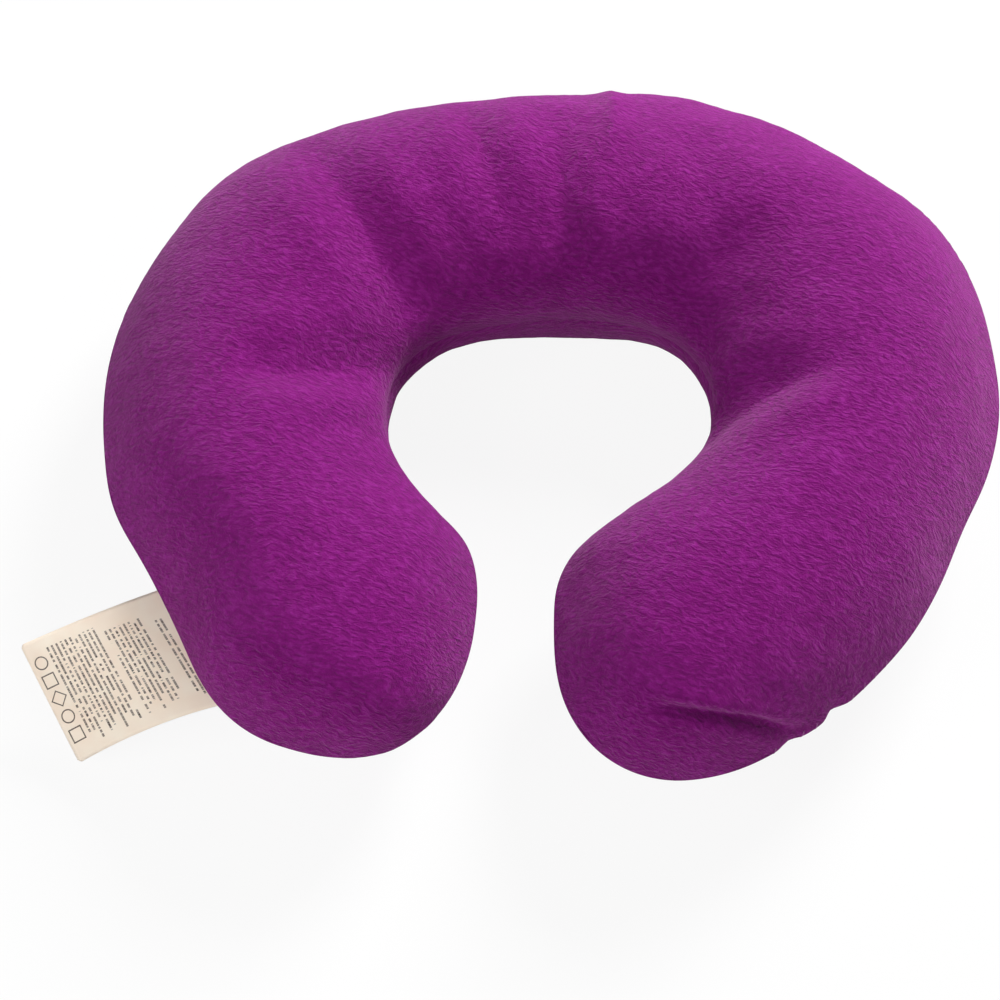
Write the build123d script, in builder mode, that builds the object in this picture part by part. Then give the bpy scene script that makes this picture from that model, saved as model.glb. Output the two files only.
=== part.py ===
"""U-shaped neck pillow: two plush knit panels sewn together, turned, stuffed with fibre and closed by hand.

Frame: millimetres, +Z up, the pillow lying flat. The origin is the middle of the neck opening on the
plane the pillow rests on. +Y points to the back of the neck, -Y out through the mouth between the arms.
Right is +X and left is -X.

The stuffing is one mass of loose fibre in the real pillow. Here it is three solids that meet face to
face on the plane across both sides, where the arms bend when the pillow is opened round a neck.
"""
import os
from math import asin, cos, degrees, radians, sin

from build123d import *

os.makedirs("parts", exist_ok=True)

# Whole pillow
seam_height = 38.0         # resting plane to the side seam
upper_rise = 46.0          # side seam to the top of the upper panel
upper_roll = 38.0          # radius of the rolled edge of the upper panel
lower_roll = 33.0          # radius of the rolled edge of the lower panel

# Corners of the seam outline on the right half, from the back round the arm to the hole: x, y, radius
half_outline = [
    (64, 152, 188),        # back
    (138, 107, 60),        # back corner
    (186, 45, 120),        # widest part of the side
    (150, -57, 150),
    (98, -121, 80),        # tip of the arm, outer corner
    (30, -137, 44),        # tip of the arm, inner corner
    (14, -87, 66),
    (14, -54, 43),         # lip, where the arms come closest
    (60, -11, 39),         # neck opening, front corner
    (59, 46, 37),          # neck opening, back corner
]

# Cover
cloth = 1.0                # plush knit, pile pressed flat
allowance = 9.0            # seam allowance turned to the inside
stitch_inset = 1.8         # middle of the seam thread, in from the outline
thread_radius = 0.2

# Stuffing
fill_clearance = 0.3       # between the fibre and the cloth or a thread
bend_y = 20.0              # plane across both sides where the arms bend

# Turning gap, closed by hand on the outer side of the right arm
gap_middle = (114.9, -100.2)    # on the seam
gap_heading = -39.5        # outward direction there, degrees from +X
gap_length = 60.0
stitch_spacing = 6.0
stitch_span = 5.0          # height of one stitch across the seam
stitch_radius = 0.35
stitch_clearance = 0.3

# Care label, one leaf sewn into the seam of the left arm
label_width = 50.0
label_length = 62.0
label_thickness = 0.3
label_corner = 1.5         # rounding of the two free corners
label_tuck = 12.0          # leaf drawn past the seam before it is trimmed to the cover
label_root = (-117.4, -97.1)    # middle of the sewn edge, on the seam
label_heading = 219.5      # outward direction there, degrees from +X
label_skew = 17.0          # turn of the leaf in its own plane, towards the back
label_clearance = 0.3      # between the leaf and the cover
label_lift = 16.0          # lowest corner of the leaf above the resting plane


def outline_face(inset):
    """The face inside the seam outline, moved inward by inset."""
    mirrored = [(-x, y, radius) for x, y, radius in reversed(half_outline)]
    corners = half_outline + mirrored
    with BuildSketch() as outline:
        with BuildLine():
            FilletPolyline(
                *[(x, y) for x, y, _ in corners],
                radius=[radius for _, _, radius in corners],
                close=True,
            )
        make_face()
        if inset:
            offset(amount=-inset, kind=Kind.TANGENT)
    return outline.sketch


def half_cushion(inset, rise, roll, side):
    """Solid between the seam plane and the outer skin, on one side: +1 is up, -1 is down."""
    with BuildPart() as half:
        with BuildSketch(Plane.XY.offset(seam_height)):
            add(outline_face(inset))
        extrude(amount=side * (rise - inset))
        crown = half.faces().sort_by(Axis.Z)[-1 if side > 0 else 0]
        fillet(crown.edges(), radius=roll - inset)
    return half.part


def seam_ring(outer_inset, inner_inset, low, high):
    """Flat ring along the seam between two insets, from height low to height high."""
    with BuildPart() as ring:
        with BuildSketch(Plane.XY.offset(low)):
            add(outline_face(outer_inset))
            add(outline_face(inner_inset), mode=Mode.SUBTRACT)
        extrude(amount=high - low)
    return ring.part


def seam_plane(middle, heading, slope=0):
    """Plane at a place on the seam: x runs along the seam, y points outward and slope degrees down."""
    outward_x, outward_y = cos(radians(heading)), sin(radians(heading))
    lean = sin(radians(slope))
    return Plane(
        origin=(*middle, seam_height),
        x_dir=(outward_y, -outward_x, 0),
        z_dir=(outward_x * lean, outward_y * lean, cos(radians(slope))),
    )


# Cover panels: a domed skin each, with the seam allowance turned to the inside
with BuildPart() as upper_panel:
    add(half_cushion(0, upper_rise, upper_roll, 1))
    add(half_cushion(cloth, upper_rise, upper_roll, 1), mode=Mode.SUBTRACT)
    add(seam_ring(0, cloth + allowance, seam_height, seam_height + cloth))

with BuildPart() as lower_panel:
    add(half_cushion(0, seam_height, lower_roll, -1))
    add(half_cushion(cloth, seam_height, lower_roll, -1), mode=Mode.SUBTRACT)
    add(seam_ring(0, cloth + allowance, seam_height - cloth, seam_height))


def seam_thread(height):
    """Thread laid along the whole seam at a height, except over the turning gap."""
    route = outline_face(stitch_inset).wire().moved(Location((0, 0, height)))
    with BuildPart() as thread:
        with BuildSketch(Plane(origin=route @ 0, z_dir=route % 0)):
            Circle(thread_radius)
        sweep(path=route)
        with BuildSketch(seam_plane(gap_middle, gap_heading)):
            Rectangle(gap_length, gap_length)
        extrude(amount=seam_height, both=True, mode=Mode.SUBTRACT)
    return thread.part


# Machine seam: one thread lies on each face of the paired allowances
with BuildPart() as seam_needle_thread:
    add(seam_thread(seam_height + cloth + thread_radius))

with BuildPart() as seam_bobbin_thread:
    add(seam_thread(seam_height - cloth - thread_radius))

# Stuffing: the inside of the cover, less a pocket round the allowances and their threads
skin = cloth + fill_clearance
pocket_depth = cloth + allowance + fill_clearance
pocket_reach = cloth + 2 * thread_radius + fill_clearance
with BuildPart() as stuffing:
    add(half_cushion(skin, upper_rise, upper_roll, 1))
    add(half_cushion(skin, seam_height, lower_roll, -1))
    add(
        seam_ring(0, pocket_depth, seam_height - pocket_reach, seam_height + pocket_reach),
        mode=Mode.SUBTRACT,
    )


def stuffing_beside(keep):
    """The stuffing in front of the bend plane (Keep.BOTTOM) or behind it (Keep.TOP)."""
    with BuildPart() as piece:
        add(stuffing.part)
        split(bisect_by=Plane(origin=(0, bend_y, 0), z_dir=(0, 1, 0)), keep=keep)
    return piece.part


arms = stuffing_beside(Keep.BOTTOM).solids().sort_by(Axis.X)

with BuildPart() as neck_fill:
    add(stuffing_beside(Keep.TOP))

with BuildPart() as left_arm_fill:
    add(arms[0])

with BuildPart() as right_arm_fill:
    add(arms[-1])

# Closing stitches: upright bars over the seam, evenly spaced along the turning gap
outer_line = outline_face(-(stitch_clearance + stitch_radius)).wire()
outer_line = outer_line.moved(Location((0, 0, seam_height)))
stitches_round = round(outer_line.length / stitch_spacing)
gap_centre = Vector(*gap_middle, seam_height)
stitch_places = [outer_line @ (k / stitches_round) for k in range(stitches_round)]
with BuildPart() as closing_stitches:
    with Locations(*[place for place in stitch_places if (place - gap_centre).length < gap_length / 2]):
        Cylinder(stitch_radius, stitch_span)

# Care label: a leaf that slopes down from the seam, its free edge clear of the resting plane
label_reach = label_length * cos(radians(label_skew)) + label_width / 2 * sin(radians(label_skew))
label_slope = degrees(asin((seam_height - label_lift) / label_reach))
with BuildPart() as care_label:
    with BuildSketch(seam_plane(label_root, label_heading, label_slope)) as leaf:
        with Locations(Location((0, 0, 0), (0, 0, -label_skew))):
            with Locations((0, (label_length - label_tuck) / 2)):
                Rectangle(label_width, label_length + label_tuck)
        fillet(leaf.vertices().sort_by(Axis.Y)[-2:], label_corner)
    extrude(amount=label_thickness / 2, both=True)
    with BuildSketch():
        add(outline_face(-label_clearance))
    extrude(amount=seam_height + upper_rise, mode=Mode.SUBTRACT)

for name, piece in {
    "upper_panel": upper_panel,
    "lower_panel": lower_panel,
    "seam_needle_thread": seam_needle_thread,
    "seam_bobbin_thread": seam_bobbin_thread,
    "neck_fill": neck_fill,
    "left_arm_fill": left_arm_fill,
    "right_arm_fill": right_arm_fill,
    "closing_stitches": closing_stitches,
    "care_label": care_label,
}.items():
    piece.part.label = name
    export_step(piece.part, f"parts/{name}.step")
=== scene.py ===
# %% [markdown]
# # A U-shaped travel neck pillow
# The pillow is two panels of plush knit, sewn together round a U-shaped outline, turned right side out,
# stuffed with fibre and closed by hand. This notebook cuts the panels flat, lets a cloth simulation stuff
# them, and finishes the cloth, the seam, the stuffing and the care label.
# The construction model is loaded first. It gives every size and place that the looks are built on.

# %% Load the frame and measure it
import math

import bmesh
import bpy
import numpy as np
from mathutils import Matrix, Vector, geometry, kdtree, noise


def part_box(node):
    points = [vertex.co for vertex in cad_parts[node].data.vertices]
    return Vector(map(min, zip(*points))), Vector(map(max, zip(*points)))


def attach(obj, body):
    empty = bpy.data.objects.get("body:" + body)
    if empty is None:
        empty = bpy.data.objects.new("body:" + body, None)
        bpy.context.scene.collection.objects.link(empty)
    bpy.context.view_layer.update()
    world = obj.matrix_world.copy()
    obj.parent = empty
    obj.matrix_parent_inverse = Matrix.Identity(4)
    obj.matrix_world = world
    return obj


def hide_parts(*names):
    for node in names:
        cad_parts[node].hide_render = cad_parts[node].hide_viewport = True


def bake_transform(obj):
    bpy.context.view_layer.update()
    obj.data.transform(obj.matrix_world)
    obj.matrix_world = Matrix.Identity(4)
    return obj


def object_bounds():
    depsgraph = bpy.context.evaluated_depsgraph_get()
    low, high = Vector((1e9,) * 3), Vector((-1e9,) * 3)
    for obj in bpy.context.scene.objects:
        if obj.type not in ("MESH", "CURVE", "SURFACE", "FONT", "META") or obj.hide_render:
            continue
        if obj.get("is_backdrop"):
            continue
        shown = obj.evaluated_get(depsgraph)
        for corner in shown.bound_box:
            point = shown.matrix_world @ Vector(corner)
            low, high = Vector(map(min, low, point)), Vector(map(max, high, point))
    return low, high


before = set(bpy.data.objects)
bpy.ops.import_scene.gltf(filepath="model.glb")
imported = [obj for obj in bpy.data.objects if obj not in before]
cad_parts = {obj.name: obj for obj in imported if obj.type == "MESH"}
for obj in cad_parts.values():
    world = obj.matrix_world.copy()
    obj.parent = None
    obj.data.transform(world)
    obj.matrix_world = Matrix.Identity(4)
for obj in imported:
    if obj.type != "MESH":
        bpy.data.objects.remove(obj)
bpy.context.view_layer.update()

MM = 0.001
SEAM_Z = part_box("upper_panel")[0].z
TOP_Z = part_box("upper_panel")[1].z
print("seam height, mm:", round(SEAM_Z / MM, 1), "top, mm:", round(TOP_Z / MM, 1))

# %% [markdown]
# The camera looks down steeply from the open side of the U, turned a little to the right.
# A long lens from 0.8 m keeps the two arms nearly the same size. The small shift places the pillow in the
# frame without turning the camera away from it.

# %% Camera
TARGET = Vector((2 * MM, 0, SEAM_Z))
CAMERA_ELEVATION = math.radians(64)
CAMERA_TURN = math.radians(6)
CAMERA_DISTANCE = 0.80
MM_PER_FRAME = 380                       # width that the frame spans at the target
CAMERA_SHIFT = (-0.051, -0.063)          # share of the frame's width, to the left and down


def put_in_scene(name, data):
    """A new object in the scene, at the origin."""
    placed = bpy.data.objects.new(name, data)
    bpy.context.scene.collection.objects.link(placed)
    return placed


camera_data = bpy.data.cameras.new("camera")
camera = put_in_scene("camera", camera_data)
bpy.context.scene.camera = camera
camera.rotation_euler = (math.pi / 2 - CAMERA_ELEVATION, 0, CAMERA_TURN)
backward = camera.rotation_euler.to_matrix() @ Vector((0, 0, 1))
camera.location = TARGET + CAMERA_DISTANCE * backward
camera_data.lens = camera_data.sensor_width * CAMERA_DISTANCE / (MM_PER_FRAME * MM)
camera_data.shift_x, camera_data.shift_y = CAMERA_SHIFT
print("lens, mm:", round(camera_data.lens, 1))

# %% [markdown]
# Three helpers serve every material: one turns an sRGB hex colour into the linear values that Blender
# uses, one starts a material, and one adds a node with its settings and links.

# %% Colour and node helpers
def srgb(code):
    """Linear RGBA from an sRGB hex colour such as "#8a2582"."""
    values = [int(code[i:i + 2], 16) / 255 for i in (1, 3, 5)]
    return [v / 12.92 if v <= 0.04045 else ((v + 0.055) / 1.055) ** 2.4 for v in values] + [1.0]


def add_node(material, kind, settings=None, **inputs):
    """A node with its settings, and its inputs as values or as (node, output) links.

    An input goes by its name, with _ for a space, or by its number after a _.
    """
    node = material.node_tree.nodes.new(kind)
    for name, value in (settings or {}).items():
        setattr(node, name, value)
    for name, value in inputs.items():
        socket = node.inputs[int(name[1:]) if name[0] == "_" else name.replace("_", " ")]
        if isinstance(value, tuple) and isinstance(value[0], bpy.types.Node):
            material.node_tree.links.new(value[0].outputs[value[1]], socket)
        else:
            socket.default_value = value
    return node


def new_material(name):
    """An empty node material."""
    material = bpy.data.materials.new(name)
    material.use_nodes = True
    material.node_tree.nodes.clear()
    return material


def set_ramp(ramp, stops):
    """Gives a colour ramp its stops: (position, hex colour)."""
    elements = ramp.color_ramp.elements
    while len(elements) < len(stops):
        elements.new(0.5)
    for element, (position, code) in zip(elements, stops):
        element.position = position
        element.color = srgb(code)


print("the plush's colour, linear:", [round(v, 3) for v in srgb("#7e0e73")[:3]])

# %% [markdown]
# The stage is a pale floor with a large soft lamp behind the pillow and two weaker ones in front of it. The
# floor is mixed with plain white where the camera, a reflection or glass sees it, so that it reads as white
# paper and still keeps a soft shadow. The world does the same for what lies beyond the floor. It gives
# little light of its own, because light from every side would make the pile look dusty.

# %% Stage
SEEN_RAYS = ("Is Camera Ray", "Is Glossy Ray", "Is Transmission Ray")
FLOOR_LIFT = 0.9                         # share of plain white in the floor; the rest shows the shadow
FLOOR_SIZE = 6.0


def seen_directly(material):
    """1 for rays from the camera, a reflection or glass, and 0 for the light that falls on things."""
    path = add_node(material, "ShaderNodeLightPath")
    seen = (path, SEEN_RAYS[0])
    for ray in SEEN_RAYS[1:]:
        either = add_node(material, "ShaderNodeMath", {"operation": "MAXIMUM"}, _0=seen, _1=(path, ray))
        seen = (either, 0)
    return seen


def paper_floor():
    """White paper: pale diffuse, lifted towards white where it is seen directly."""
    material = new_material("white_paper")
    pale = add_node(material, "ShaderNodeBsdfDiffuse", Color=srgb("#efefef"))
    white = add_node(material, "ShaderNodeEmission", Color=(1, 1, 1, 1), Strength=1.0)
    lifted = add_node(material, "ShaderNodeMath", {"operation": "MULTIPLY"},
                      _0=seen_directly(material), _1=FLOOR_LIFT)
    mixed = add_node(material, "ShaderNodeMixShader", _0=(lifted, 0), _1=(pale, 0), _2=(white, 0))
    add_node(material, "ShaderNodeOutputMaterial", Surface=(mixed, 0))
    return material


floor_mesh = bpy.data.meshes.new("floor")
corners = [(x * FLOOR_SIZE / 2, y * FLOOR_SIZE / 2, 0) for x, y in ((-1, -1), (1, -1), (1, 1), (-1, 1))]
floor_mesh.from_pydata(corners, [], [(0, 1, 2, 3)])
floor = put_in_scene("floor", floor_mesh)
floor_mesh.materials.append(paper_floor())
floor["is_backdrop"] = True


def soft_box(name, place, size, power):
    """A white square lamp that points at the pillow: place and size in metres, power in watts."""
    data = bpy.data.lights.new(name, "AREA")
    data.size = size
    data.energy = power
    lamp = put_in_scene(name, data)
    lamp.location = place
    lamp.rotation_euler = (Vector(place) - TARGET).to_track_quat("Z", "Y").to_euler()


soft_box("key", (0.6, 1.2, 0.9), 0.6, 41)
soft_box("fill_left", (-0.56, -0.42, 0.56), 0.5, 3.4)
soft_box("fill_front", (0.55, -1.1, 0.6), 0.9, 4.5)

# %% World
WORLD_LIGHT = 0.08

world = bpy.data.worlds.new("studio")
bpy.context.scene.world = world
world.use_nodes = True
world.node_tree.nodes.clear()
strength = add_node(world, "ShaderNodeMath", {"operation": "MAXIMUM"},
                    _0=seen_directly(world), _1=WORLD_LIGHT)
background = add_node(world, "ShaderNodeBackground", Color=(1, 1, 1, 1), Strength=(strength, 0))
add_node(world, "ShaderNodeOutputWorld", Surface=(background, 0))

bpy.context.scene.view_settings.view_transform = "Standard"
print("world light:", WORLD_LIGHT)

# %% [markdown]
# The two panels of a stuffed pillow are cut flat, a little larger than the pillow's outline, because the
# cloth rises over the stuffing and draws its own edge inwards. The sewn outline is read from the upper
# panel of the construction model: it is where the panel's side meets the flat plane of the seam.

# %% The sewn outline
def chains(edges):
    """The points in plan of each closed chain of mesh edges."""
    neighbours = {}
    for edge in edges:
        for one, other in (edge.verts, reversed(edge.verts)):
            neighbours.setdefault(one, []).append(other)
    left, found = set(neighbours), []
    for start in neighbours:
        chain = []
        while start in left:
            left.remove(start)
            chain.append(start)
            start = next((v for v in neighbours[start] if v in left), start)
        if chain:
            found.append(np.array([v.co.xy for v in chain]))
    return found


def lengths_along(points):
    """Distance from the first point to each point of a closed line, and its whole length at the end."""
    steps = np.linalg.norm(np.diff(np.vstack([points, points[:1]]), axis=0), axis=1)
    return np.concatenate([[0], np.cumsum(steps)])


def evenly(step, along, *lines):
    """Each closed line again, with points about one step apart along the first line."""
    places = np.linspace(0, along[-1], int(round(along[-1] / step)), endpoint=False)
    closed = [np.vstack([line, line[:1]]) for line in lines]
    return [np.column_stack([np.interp(places, along, line[:, k]) for k in (0, 1)]) for line in closed]


MERGE = 0.001 * MM
LEVEL = 0.01 * MM
SHARP_TURN = 0.5                         # change of the normals' height across the edge of the seam
SEAM_STEP = 1 * MM

panel = bmesh.new()
panel.from_mesh(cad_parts["upper_panel"].data)
bmesh.ops.remove_doubles(panel, verts=panel.verts, dist=MERGE)
seam_edges = [e for e in panel.edges if len(e.link_faces) == 2
              and all(abs(v.co.z - SEAM_Z) < LEVEL for v in e.verts)
              and abs(e.link_faces[0].normal.z - e.link_faces[1].normal.z) > SHARP_TURN]
seam_line = max(chains(seam_edges), key=lambda line: lengths_along(line)[-1])
panel.free()
x, y = seam_line.T
if np.sum(x * np.roll(y, -1) - np.roll(x, -1) * y) < 0:
    seam_line = seam_line[::-1]
seam_line, = evenly(SEAM_STEP, lengths_along(seam_line), seam_line)
middle_back = np.argmax(seam_line[:, 1] - 10 * np.abs(seam_line[:, 0]))     # the line starts here
seam_line = np.roll(seam_line, -middle_back, axis=0)
print("seam length, mm:", round(lengths_along(seam_line)[-1] / MM, 1))

# %% [markdown]
# A hand-stuffed pillow is never quite even. The sewn outline is sheared by a few millimetres, so that the
# right side sits further back than the left, and the stuffing pushes the seam out where it is packed tight.
# The shear fades out where the label is sewn in, so that the seam meets the label's root.

# %% Uneven outline
SHEAR = 0.034                            # mm of sideways shift for each mm from the middle
LABEL_ROOT = np.array([-117.4, -97.1]) * MM
STEADY_RADIUS = 45 * MM                  # round the label's root
PUSH_REACH = 12                          # points of the seam on each side that a push is spread over
SEAM_PUSHES = [                          # place along the seam from the middle of the back, and push, in mm
    (20, 0.5), (50, -1.5), (75, 0), (130, 2), (200, 1.5), (270, 1), (300, 2.5), (335, -1.7), (372, 4),
    (396, 6.5), (420, 5), (437, 2.5), (463, 5), (500, 1), (530, -1.5), (560, 1), (585, -2), (614, -2),
    (635, -4), (670, 1), (703, -6), (735, -4), (780, -4), (815, 0), (845, 5), (862, 5), (885, 0),
    (920, -0.5), (960, 3), (984, 4), (1008, 2.5), (1034, 5.5), (1060, 5), (1085, 2), (1110, -1),
    (1130, 0), (1165, 0), (1190, -1.5), (1250, 2), (1300, 4.5), (1325, 6.3), (1350, 7), (1370, 7),
    (1395, 4),
]


def uneven(points):
    """The points in plan, sheared as the stuffing pulls the pillow."""
    away = 1 - np.exp(-(np.linalg.norm(points - LABEL_ROOT, axis=1) / STEADY_RADIUS) ** 2)
    return points + SHEAR * away[:, None] * points[:, ::-1]


def averaged(values, reach):
    """Each value of a closed row, averaged with its neighbours up to reach places away."""
    wrapped = np.concatenate([values[-reach:], values, values[:reach]])
    return np.convolve(wrapped, np.ones(2 * reach + 1) / (2 * reach + 1), "valid")


def pushed(line, pushes):
    """How far the stuffing pushes each point of the seam out, in metres, from a few places along it."""
    where, much = np.array(pushes, float).T * MM
    along = lengths_along(line)
    return averaged(np.interp(along[:-1], where, much, period=along[-1]), PUSH_REACH)


push = pushed(seam_line, SEAM_PUSHES)
print("seam pushed by, mm:", round(push.min() / MM, 1), "to", round(push.max() / MM, 1))

# %% [markdown]
# The cut pattern adds ease outside the sewn outline: more round the neck piece, less at the tips of the
# arms and between them, where the cloth would otherwise gather in too many small puckers. The pattern is
# also cut with its arms spread, as a maker would do, so the cloth round the hole is pulled and creases.

# %% The cut pattern
EASE = 18 * MM
EASE_AT_MOUTH = 10 * MM
EASE_AT_TIPS = 14 * MM
EASE_REACH = 25                          # points of the seam on each side that the ease is averaged over
MOUTH_BACK, MOUTH_SIDE = -25 * MM, 60 * MM       # the seams at the mouth are in front of and inside these
MOUTH_FADE = (10 * MM, 55 * MM)          # from the middle: all the mouth's ease, and none of it
TIPS_FADE = (40 * MM, 85 * MM)           # towards the front: none of the tips' ease, and all of it
ARMS_SPREAD = math.radians(6)
ARM_PIVOT = (115 * MM, 20 * MM)
SPREAD_FADE = (-85 * MM, 65 * MM)        # towards the front: where an arm starts to turn, and is all turned
CELL = 6 * MM                            # size of the cloth's triangles in the simulation


def ramp_up(value, start, end):
    """0 before start, 1 after end, and smooth between them."""
    t = np.clip((value - start) / (end - start), 0, 1)
    return t * t * (3 - 2 * t)


def outward(line, reach=3):
    """Unit vectors that point out of a closed line drawn anticlockwise."""
    along = np.roll(line, -reach, axis=0) - np.roll(line, reach, axis=0)
    across = np.column_stack([along[:, 1], -along[:, 0]])
    return across / np.linalg.norm(across, axis=1)[:, None]


def spread_arms(points, angle):
    """The points in plan with each arm turned outwards about the middle of its side."""
    side = np.where(points[:, 0] < 0, -1, 1)
    turn = side * angle * ramp_up(-points[:, 1], *SPREAD_FADE)
    pivot_x, pivot_y = side * ARM_PIVOT[0], ARM_PIVOT[1]
    from_x, from_y = points[:, 0] - pivot_x, points[:, 1] - pivot_y
    return np.column_stack([pivot_x + from_x * np.cos(turn) - from_y * np.sin(turn),
                            pivot_y + from_x * np.sin(turn) + from_y * np.cos(turn)])


x, y = seam_line.T
beside_mouth = (y < MOUTH_BACK) & (np.abs(x) < MOUTH_SIDE)
from_mouth = np.clip((np.abs(x) - MOUTH_FADE[0]) / (MOUTH_FADE[1] - MOUTH_FADE[0]), 0, 1)
at_mouth = EASE_AT_MOUTH + (EASE - EASE_AT_MOUTH) * from_mouth
ease = EASE - (EASE - EASE_AT_TIPS) * ramp_up(-y, *TIPS_FADE)
ease = averaged(np.where(beside_mouth, np.minimum(ease, at_mouth), ease), EASE_REACH)
cut_line = spread_arms(seam_line + outward(seam_line) * (ease + push)[:, None], ARMS_SPREAD)
sewn_line = uneven(seam_line + outward(seam_line) * push[:, None])
cut_line, sewn_line = evenly(CELL, lengths_along(cut_line), cut_line, sewn_line)
print("pattern, mm:", np.round(np.ptp(cut_line, axis=0) / MM, 1), "from", len(cut_line), "points")

# %% [markdown]
# The pattern is filled with even triangles. Points in rows, each row half a step aside of the last, give
# nearly equal sides, so the cloth bends alike in every direction. One line of edges runs down the middle
# of the neck piece, so that each panel can later be parted into a left and a right half there.

# %% Flat cloth
ROOM = 0.6 * CELL                        # no point of the grid is nearer than this to an edge
BETWEEN_RINGS = 90 * MM                  # on the middle line this lies between the hole and the back edge
CDT_INSIDE = 1                           # the triangulation keeps what is inside its border
CDT_EPSILON = 1e-7


def is_inside(points, line):
    """Whether each point is inside a closed line."""
    inside = np.zeros(len(points), bool)
    for (x1, y1), (x2, y2) in zip(line, np.roll(line, -1, axis=0)):
        crosses = (y1 > points[:, 1]) != (y2 > points[:, 1])
        meets = (x2 - x1) * (points[:, 1] - y1) / (y2 - y1 + 1e-30) + x1
        inside ^= crosses & (points[:, 0] < meets)
    return inside


def distance_to(points, line):
    """Distance of each point from the nearest point of a line."""
    return np.array([np.linalg.norm(line - p, axis=1).min() for p in points])


print("grid: no point is nearer than", round(ROOM / MM, 1), "mm to an edge")

# %% Points and triangles
low, high = cut_line.min(axis=0), cut_line.max(axis=0)
rows = np.arange(low[1], high[1], CELL * math.sqrt(3) / 2)
grid = np.vstack([np.column_stack([xs, np.full(len(xs), row_y)]) for number, row_y in enumerate(rows)
                  for xs in [np.arange(low[0] + number % 2 * CELL / 2, high[0], CELL)]])
grid = grid[is_inside(grid, cut_line)]
grid = grid[distance_to(grid, cut_line) > ROOM]
edge_count = len(cut_line)
around = [(i, (i + 1) % edge_count) for i in range(edge_count)]

off_middle, y = np.abs(cut_line[:, 0]), cut_line[:, 1]
back_end = int(np.argmin(np.where(y >= BETWEEN_RINGS, off_middle, np.inf)))
hole_end = int(np.argmin(np.where((y >= 0) & (y <= BETWEEN_RINGS), off_middle, np.inf)))
ends = cut_line[[back_end, hole_end]]
fold_count = int(round(np.linalg.norm(ends[1] - ends[0]) / CELL)) - 1
fold = ends[0] + np.linspace(0, 1, fold_count + 2)[1:-1, None] * (ends[1] - ends[0])
grid = grid[distance_to(grid, fold) > ROOM]
fold_chain = [back_end, *range(edge_count, edge_count + fold_count), hole_end]
points = [Vector(p) for p in np.vstack([cut_line, fold, grid])]
flat, _, triangles, origins, _, _ = geometry.delaunay_2d_cdt(
    points, around + list(zip(fold_chain, fold_chain[1:])), [], CDT_INSIDE, CDT_EPSILON)
flat = np.array([tuple(p) for p in flat])
on_edge = np.array([bool(o) and min(o) < edge_count for o in origins])
print("flat cloth:", len(flat), "points,", len(triangles), "triangles,", on_edge.sum(), "on the edge")

# %% [markdown]
# Both panels are one mesh for the simulation, joined along the seam as they are when sewn. A shape key
# draws the seam from the cut line in to the sewn line, and a pressure inside stands for the stuffing.
# The seam is pinned to the shape key, because a loose seam would let the arms curl shut. No gravity is
# needed: the stuffing is far stronger than the weight of the cloth.

# %% Stuff the cover
EDGE_FRAMES = 25
FRAMES = 40
START_BULGE, BULGE_EDGE = 2 * MM, 20 * MM        # height at the start, and how far from the edge it is full

inner = np.flatnonzero(~on_edge)
lower_index = np.arange(len(flat))
lower_index[inner] = len(flat) + np.arange(len(inner))
rise = START_BULGE * np.clip(distance_to(flat, cut_line) / BULGE_EDGE, 0, 1)
cloth_points = np.vstack([np.column_stack([flat, SEAM_Z + rise]),
                          np.column_stack([flat[inner], SEAM_Z - rise[inner]])])
upper_faces = np.array(triangles)
lower_faces = lower_index[upper_faces[:, ::-1]]
cloth_mesh = bpy.data.meshes.new("cloth")
cloth_mesh.from_pydata(cloth_points.tolist(), [], upper_faces.tolist() + lower_faces.tolist())
cloth = put_in_scene("cloth", cloth_mesh)
cloth.shape_key_add(name="cut")
sewn = cloth.shape_key_add(name="sewn")
for i in np.flatnonzero(on_edge):
    nearest = np.linalg.norm(cut_line - flat[i], axis=1).argmin()
    sewn.data[i].co = (*sewn_line[nearest], SEAM_Z)
sewn.value = 0
sewn.keyframe_insert("value", frame=1)
sewn.value = 1
sewn.keyframe_insert("value", frame=EDGE_FRAMES)
cloth.vertex_groups.new(name="seam").add([int(i) for i in np.flatnonzero(on_edge)], 1.0, "REPLACE")

knit = cloth.modifiers.new("knit", "CLOTH")
knit_settings = {
    "vertex_group_mass": "seam", "pin_stiffness": 50, "quality": 6, "mass": 0.15, "air_damping": 2,
    "tension_stiffness": 2, "compression_stiffness": 0.3, "shear_stiffness": 1.5, "bending_stiffness": 20,
    "tension_damping": 5, "compression_damping": 5, "shear_damping": 5, "bending_damping": 0.5,
    "use_pressure": True, "uniform_pressure_force": 80,
}
for name, value in knit_settings.items():
    setattr(knit.settings, name, value)
knit.settings.effector_weights.gravity = 0
knit.collision_settings.use_collision = False
knit.collision_settings.use_self_collision = False
knit.point_cache.frame_end = FRAMES
for number in range(1, FRAMES + 1):
    bpy.context.scene.frame_set(number)
evaluated = cloth.evaluated_get(bpy.context.evaluated_depsgraph_get())
stuffed = np.array([v.co for v in evaluated.data.vertices])
bpy.data.objects.remove(cloth)
bpy.context.scene.frame_set(1)
print("stuffed cloth, mm:", np.round(stuffed.min(axis=0) / MM, 1), np.round(stuffed.max(axis=0) / MM, 1))

# %% [markdown]
# The simulated cloth still has small kinks at the seam, where real plush would take them up in its own
# thickness, so it is smoothed a little. Then the upper side is raised to the height of the construction
# model, and the lower side settles flat where the pillow lies on the table.

# %% Smooth and settle
SMOOTHING_PASSES = 9
LOWEST = 0.5 * MM
SETTLE_BELOW = 7 * MM                    # the cloth starts to flatten at this height
UNDER_TOP = 1 * MM                       # left under the model's height for the unevenness of the pile
SINK = 4.5 * MM                          # how far the lower side would reach under the table, if it could


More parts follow.
